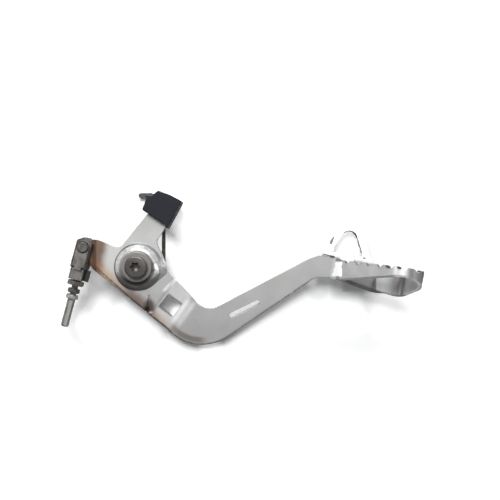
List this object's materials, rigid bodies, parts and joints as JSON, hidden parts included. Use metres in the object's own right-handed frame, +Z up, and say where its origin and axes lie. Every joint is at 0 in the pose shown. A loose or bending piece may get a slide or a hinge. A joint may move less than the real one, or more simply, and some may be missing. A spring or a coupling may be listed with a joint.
{
  "type": "rear brake pedal",
  "caption": "Motorbike rear brake pedal: formed sheet-steel lever on a pivot bolt, toothed tread loop with flip-out step, return spring, rubber stop cap and push-rod clevis.",
  "frame": {"origin": "on the pivot axis, at the inboard end of the sleeve where it seats on the bike's frame", "axes": "+X forward to the tread, +Y inboard along the pivot bolt, +Z up"},
  "size_m": [0.283, 0.065, 0.1229],
  "materials": {
    "lever_steel": "bead-blasted sheet steel with brown heat tint along the lower edge",
    "bolt_steel": "dark satin",
    "pin_steel": "satin",
    "clevis_steel": "dull zinc",
    "spring_steel": "dark oiled",
    "rubber": "matte",
    "bronze": "plain bearing bronze"
  },
  "bodies": {
    "pivot": {"pivot_bolt": "bolt_steel", "collar_washer": "bolt_steel", "pivot_sleeve": "bolt_steel", "thrust_washer": "bolt_steel", "return_spring": "spring_steel"},
    "lever": {"pedal_lever": "lever_steel", "pivot_tube": "lever_steel", "outer_bush": "bronze", "inner_bush": "bronze", "outer_seal": "rubber", "inner_seal": "rubber", "stop_cap": "rubber", "tread_loop": "lever_steel", "rear_step_knuckle": "lever_steel", "front_step_knuckle": "lever_steel", "rear_step_pin": "pin_steel", "front_step_pin": "pin_steel"},
    "step": {"flip_step": "lever_steel"},
    "clevis": {"clevis_fork": "clevis_steel", "clevis_pin": "pin_steel", "clevis_clip": "spring_steel", "lock_nut": "clevis_steel", "push_rod": "clevis_steel"}
  },
  "joints": [
    {"name": "pedal_pivot", "type": "hinge", "parent": "pivot", "child": "lever", "pos_m": [0, 0, 0], "axis": [0, 1, 0], "range_deg": [0, 14], "stiffness_Nm_per_rad": 2.3, "springref_deg": -37.24, "deforming": ["return_spring"]},
    {"name": "step_fold", "type": "hinge", "parent": "lever", "child": "step", "pos_m": [0.1463, -0.01, 0.0109], "axis": [0.9833, 0, -0.1822], "range_deg": [0, 104]},
    {"name": "clevis_pivot", "type": "hinge", "parent": "lever", "child": "clevis", "pos_m": [-0.0424, -0.02, 0.0154], "axis": [0, 1, 0], "range_deg": [-4, 180]}
  ]
}
